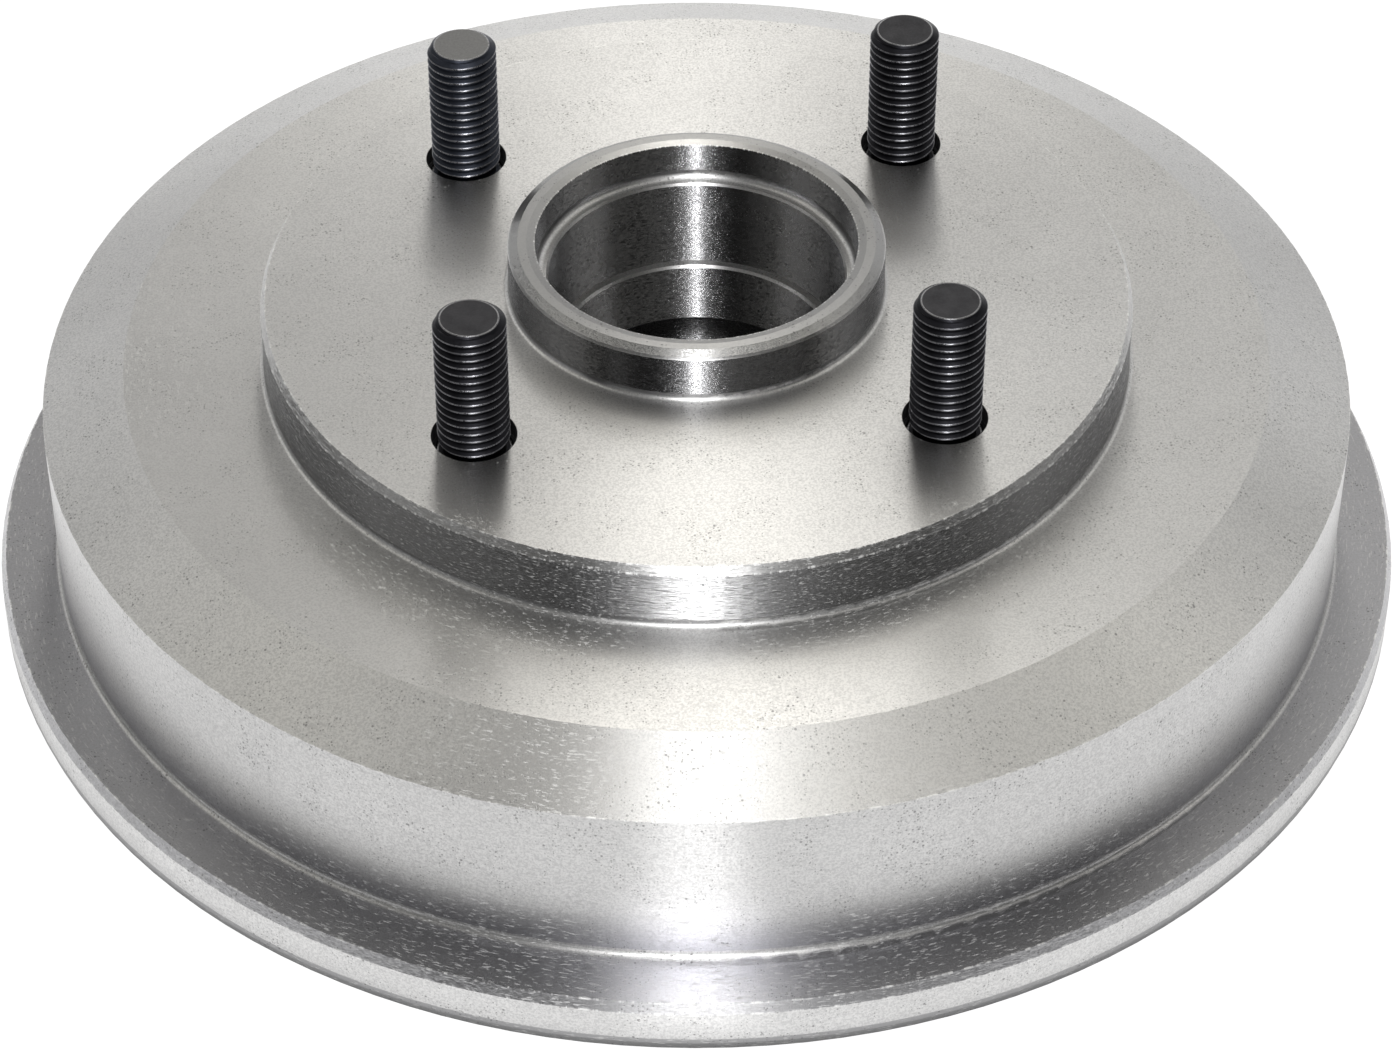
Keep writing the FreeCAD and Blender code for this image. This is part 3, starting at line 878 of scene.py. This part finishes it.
def build_floor():
    """A floor that is white to the camera, with the drum's shadow, and painted dark under the drum.

    The metal mirrors its glow as the two curves say, with a painted shadow round and under the drum
    and a painted gleam of light in the camera's upright plane.
    """
    mesh = bmesh.new()
    corners = [(x * FLOOR_HALF, y * FLOOR_HALF) for x, y in ((-1, -1), (1, -1), (1, 1), (-1, 1))]
    mesh.faces.new([mesh.verts.new((x, y, FLOOR_HEIGHT)) for x, y in corners])
    data = bpy.data.meshes.new("floor")
    mesh.to_mesh(data)
    mesh.free()
    floor = bpy.data.objects.new("floor", data)
    bpy.context.scene.collection.objects.link(floor)

    material = bpy.data.materials.new("floor")
    material.use_nodes = True
    tree = material.node_tree
    tree.nodes.clear()
    output = tree.nodes.new("ShaderNodeOutputMaterial")
    point, radius, _, outward = axis_coordinates(tree)
    rays = tree.nodes.new("ShaderNodeLightPath").outputs
    from_camera = rays["Is Camera Ray"]
    seen = greatest(tree, from_camera, rays["Is Glossy Ray"], rays["Is Transmission Ray"])

    # How bright the metal mirrors it: a glow with painted shadow at the drum and a painted gleam
    behind = along_view(tree, outward, (0, 1, 0))
    beside = calculate(tree, "ABSOLUTE", along_view(tree, point, (1, 0, 0)))
    reflected = blend_colour(
        tree,
        ramp(tree, behind, *BEFORE_THE_DRUM),
        tone_curve(tree, radius, FLOOR_BEHIND),
        tone_curve(tree, radius, FLOOR_BEFORE),
    )
    # A painted streak of light on the floor, which only the metal sees
    gleam = multiply(
        tree,
        ramp(tree, beside, *GLEAM_WIDTH),
        ramp(tree, behind, *GLEAM_TURN),
        ramp(tree, radius, *GLEAM_START),
        ramp(tree, radius, *GLEAM_END),
    )
    reflected = calculate(tree, "ADD", reflected, gleam)

    # Painted shade under the drum, as the camera sees the floor
    white = multiply(tree, from_camera, ramp(tree, radius, *FLOOR_SHADE_UNDER_DRUM))
    strength = calculate(tree, "MULTIPLY_ADD", reflected, remainder(tree, from_camera), white)
    paper = add_node(tree, "ShaderNodeBsdfDiffuse", {"Color": PAPER})
    dim_paper = add_node(tree, "ShaderNodeBsdfDiffuse", {"Color": DIM_PAPER})
    glow = add_node(tree, "ShaderNodeEmission", {"Strength": strength})
    lifted = add_node(tree, "ShaderNodeAddShader", {0: dim_paper.outputs[0], 1: glow.outputs[0]})
    mixed = add_node(
        tree, "ShaderNodeMixShader", {0: seen, 1: paper.outputs[0], 2: lifted.outputs[0]}
    )
    tree.links.new(mixed.outputs[0], output.inputs["Surface"])
    data.materials.append(material)


def tone_curve(tree, source, stops):
    """A tone that follows source through stops of position, level and warmth."""
    node = add_node(tree, "ShaderNodeValToRGB", {0: source})
    band = node.color_ramp
    band.interpolation = "LINEAR"
    while len(band.elements) < len(stops):
        band.elements.new(1.0)
    for element, (position, level, warmth) in zip(band.elements, stops):
        element.position = position
        element.color = (level * (1 + WARM_SHIFT * warmth), level, level * (1 - warmth), 1.0)
    return node.outputs[0]


def height_of(degrees):
    """How high a direction at that elevation rises."""
    return math.sin(math.radians(degrees))


def build_world():
    """The studio that the metal mirrors, with a white horizon. The camera sees only white."""
    world = bpy.data.worlds.new("studio")
    bpy.context.scene.world = world
    world.use_nodes = True
    tree = world.node_tree
    tree.nodes.clear()
    output = tree.nodes.new("ShaderNodeOutputWorld")
    way = add_node(tree, "ShaderNodeTexCoord").outputs["Generated"]
    rise = add_node(tree, "ShaderNodeSeparateXYZ", {0: way}).outputs[2]
    right, back = (along_view(tree, way, axis) for axis in ((1, 0, 0), (0, 1, 0)))
    turn = calculate(tree, "DEGREES", calculate(tree, "ARCTAN2", right, back))
    colour = None
    for start, levels in STUDIO:
        stops = []
        for edge, below, above, warmth in zip(STUDIO_EDGES, levels, levels[1:], STUDIO_WARMTH):
            stops.append((height_of(edge - LEVEL_BLEND), below, warmth))
            stops.append((height_of(edge + LEVEL_BLEND), above, warmth))
        column = tone_curve(tree, rise, stops)
        if colour is None:
            colour = column
        else:
            share = ramp(tree, turn, start - PART_BLEND, start + PART_BLEND)
            colour = blend_colour(tree, share, colour, column)
    horizon = ramp(tree, rise, *(height_of(degrees) for degrees in HORIZON), 1.0, 0.0)
    seen = tree.nodes.new("ShaderNodeLightPath").outputs["Is Camera Ray"]
    colour = blend_colour(tree, greatest(tree, horizon, seen), colour, WHITE)
    background = add_node(tree, "ShaderNodeBackground", {"Color": colour, "Strength": 1.0})
    tree.links.new(background.outputs[0], output.inputs["Surface"])


def build_lights():
    """Panels before the drum, and strips in the camera's upright plane that draw the streak."""
    target = in_view(0, 0, face_height)
    for name, turn, low, high, width, radiance, warmth in LAMPS:
        rise = math.radians((low + high) / 2)
        turn = math.radians(turn)
        length = 2 * LAMP_REACH * math.tan(math.radians((high - low) / 2))
        breadth = 2 * LAMP_REACH * math.tan(math.radians(width / 2))
        data = bpy.data.lights.new(name, "AREA")
        data.shape = "RECTANGLE"
        data.size = breadth
        data.size_y = length
        data.energy = radiance * math.pi * breadth * length
        data.color = (1.0, 1.0 - WARM_SHIFT * warmth, 1.0 - warmth)
        lamp = bpy.data.objects.new(name, data)
        bpy.context.scene.collection.objects.link(lamp)
        level = math.cos(rise)
        away = in_view(level * math.sin(turn), level * math.cos(turn), math.sin(rise))
        lamp.location = target + LAMP_REACH * away
        lamp.rotation_euler = (-away).to_track_quat("-Z", "Y").to_euler()
        lamp.visible_camera = False


def build_camera():
    """The photograph's viewpoint."""
    data = bpy.data.cameras.new("camera")
    data.lens = LENS
    data.sensor_width = SENSOR_WIDTH
    camera = bpy.data.objects.new("camera", data)
    bpy.context.scene.collection.objects.link(camera)
    camera.location = in_view(0, -CAMERA_REACH, CAMERA_HEIGHT)
    forward = in_view(0, math.cos(VIEW_PITCH), -math.sin(VIEW_PITCH))
    camera.rotation_euler = forward.to_track_quat("-Z", "Y").to_euler()
    bpy.context.scene.camera = camera


def dress_drum(material):
    """Gives the drum's own surface its finish."""
    drum = frame["nodes"]["brake_drum"]
    drum.data.materials.clear()
    drum.data.materials.append(material)


dress_drum(turned_iron())
build_studs(black_oxide())
build_floor()
build_world()
build_lights()
build_camera()
bpy.context.scene.view_settings.view_transform = "Standard"
